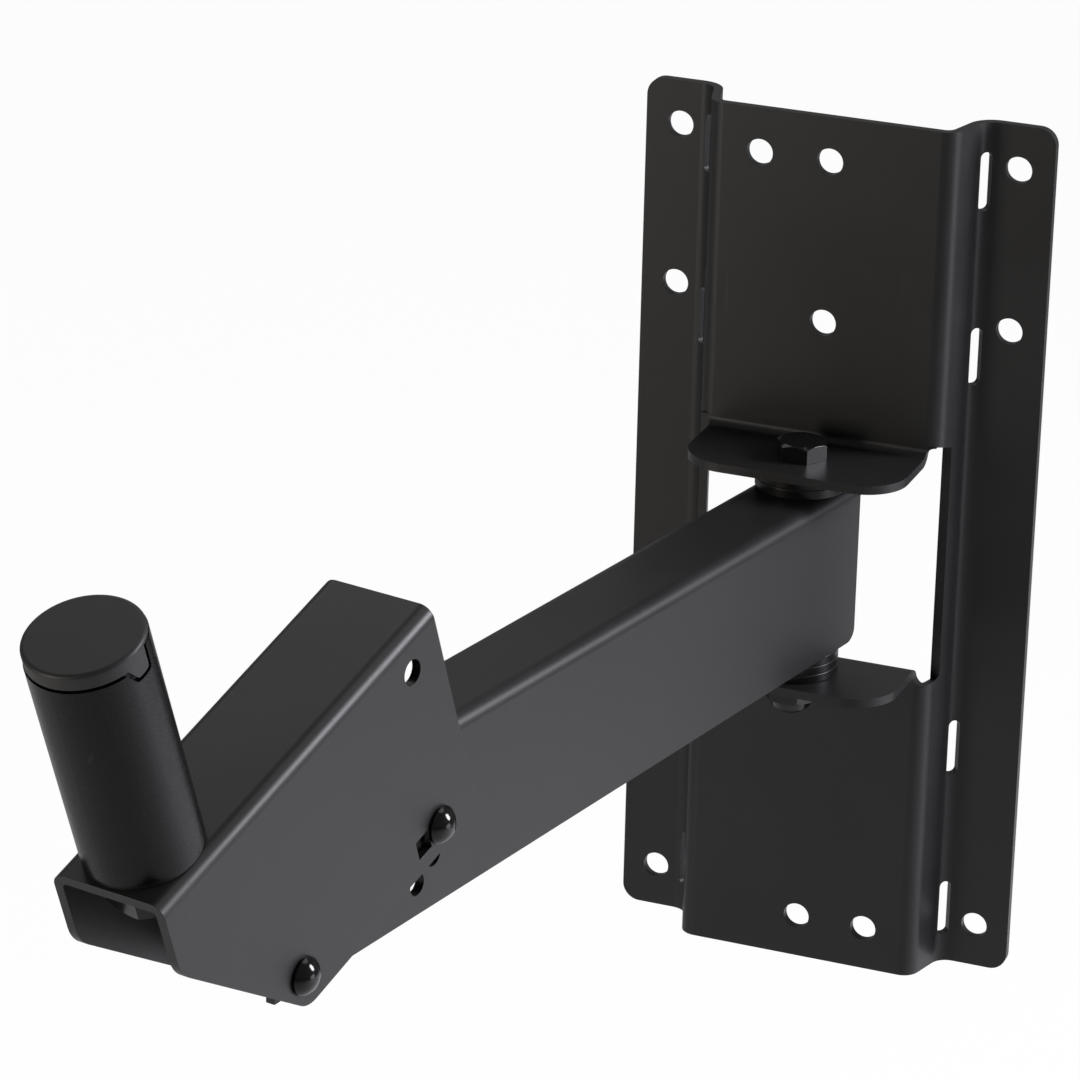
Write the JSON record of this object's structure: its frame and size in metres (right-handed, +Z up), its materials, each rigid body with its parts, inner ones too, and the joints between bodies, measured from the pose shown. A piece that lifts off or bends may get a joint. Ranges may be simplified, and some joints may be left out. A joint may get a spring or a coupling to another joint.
{
  "type": "speaker wall bracket",
  "caption": "Wall bracket for a loudspeaker: a folded wall plate, a swinging channel arm and a tilting head with a pole for the speaker's socket.",
  "frame": {"origin": "centre of the rectangle of the four corner screw holes, on the wall", "axes": "+Y into the wall, +Z up, +X to the right of someone who faces the wall"},
  "size_m": [0.1625, 0.4234, 0.3],
  "materials": {
    "black_steel": "satin black powder coat",
    "pole_steel": "satin black powder coat, slightly smoother",
    "cap_plastic": "matte moulded plastic",
    "dark_hardware": "gloss black plated",
    "washer_steel": "black plated",
    "bare_steel": "turned, inside the pole",
    "shim_plastic": "black nylon"
  },
  "bodies": {
    "wall_side": {"wall_plate": "black_steel", "swivel_bolt": "dark_hardware", "swivel_nut": "dark_hardware", "lower_washer_1": "washer_steel", "lower_washer_2": "washer_steel", "lower_washer_3": "washer_steel", "upper_washer_1": "washer_steel", "upper_washer_2": "washer_steel"},
    "swing_arm": {"arm": "black_steel", "swivel_tube": "black_steel"},
    "head": {"tilt_head": "black_steel", "pole_washer": "shim_plastic", "pole_tube": "pole_steel", "pole_plug": "bare_steel", "pole_screw": "dark_hardware", "pole_cap": "cap_plastic", "pivot_bolt": "dark_hardware", "pivot_washer": "washer_steel", "pivot_nut": "dark_hardware", "pivot_sleeve": "washer_steel", "pivot_shim_near": "shim_plastic", "pivot_shim_far": "shim_plastic", "lock_bolt": "dark_hardware", "lock_washer": "washer_steel", "lock_nut": "dark_hardware", "lock_sleeve": "washer_steel", "lock_shim_near": "shim_plastic", "lock_shim_far": "shim_plastic"}
  },
  "joints": [
    {"name": "arm_swivel", "type": "hinge", "parent": "wall_side", "child": "swing_arm", "pos_m": [0, -0.037, 0], "axis": [0, 0, 1], "range_deg": [-78.5, 101.5]},
    {"name": "head_tilt", "type": "hinge", "parent": "swing_arm", "child": "head", "pos_m": [-0.06061, -0.3349, -0.02], "axis": [0.9799, -0.1994, 0], "range_deg": [-10, 0]}
  ]
}
